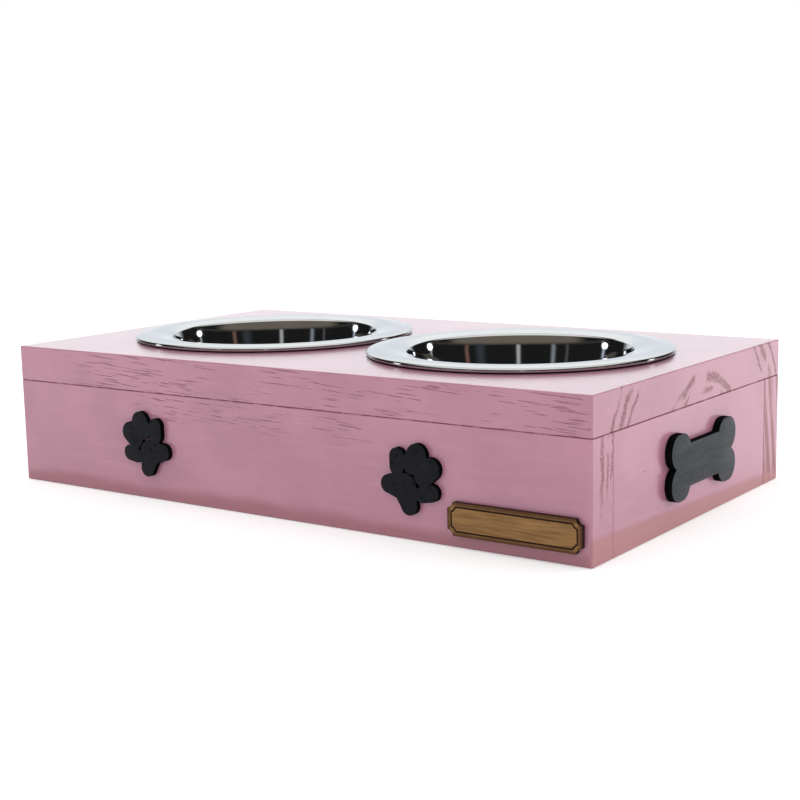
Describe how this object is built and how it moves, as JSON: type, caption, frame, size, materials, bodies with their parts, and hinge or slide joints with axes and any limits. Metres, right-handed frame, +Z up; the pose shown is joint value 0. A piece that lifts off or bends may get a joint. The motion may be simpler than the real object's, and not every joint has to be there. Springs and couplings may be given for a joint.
{
  "type": "pet bowl stand",
  "caption": "Low rectangular wooden feeding stand whose lid holds flanged steel bowls that lift out, with cut-out paw and bone ornaments and a blank wooden tag.",
  "frame": {"origin": "on the floor, below the middle of the lid", "axes": "+X along the stand towards the end with the bone, +Y from the front to the back, +Z up"},
  "size_m": [0.384, 0.223, 0.0835],
  "materials": {
    "painted_pine": "satin pink paint on pine",
    "dowel_wood": "bare beech",
    "bowl_steel": "mirror-polished stainless steel",
    "black_ornament": "satin black paint on fibreboard",
    "tag_wood": "bare laser-cut ply with a scorched edge"
  },
  "bodies": {
    "stand": {"top_board": "painted_pine", "front_board": "painted_pine", "back_board": "painted_pine", "left_end_board": "painted_pine", "right_end_board": "painted_pine", "corner_dowels": "dowel_wood", "top_dowels": "dowel_wood", "left_paw": "black_ornament", "right_paw": "black_ornament", "end_bone": "black_ornament", "name_plaque": "tag_wood"},
    "left_bowl": {"left_bowl": "bowl_steel"},
    "right_bowl": {"right_bowl": "bowl_steel"}
  },
  "joints": [
    {"name": "left_bowl_lift", "type": "slide", "parent": "stand", "child": "left_bowl", "axis": [0, 0, 1], "range_m": [0, 0.06]},
    {"name": "right_bowl_lift", "type": "slide", "parent": "stand", "child": "right_bowl", "axis": [0, 0, 1], "range_m": [0, 0.06]}
  ]
}
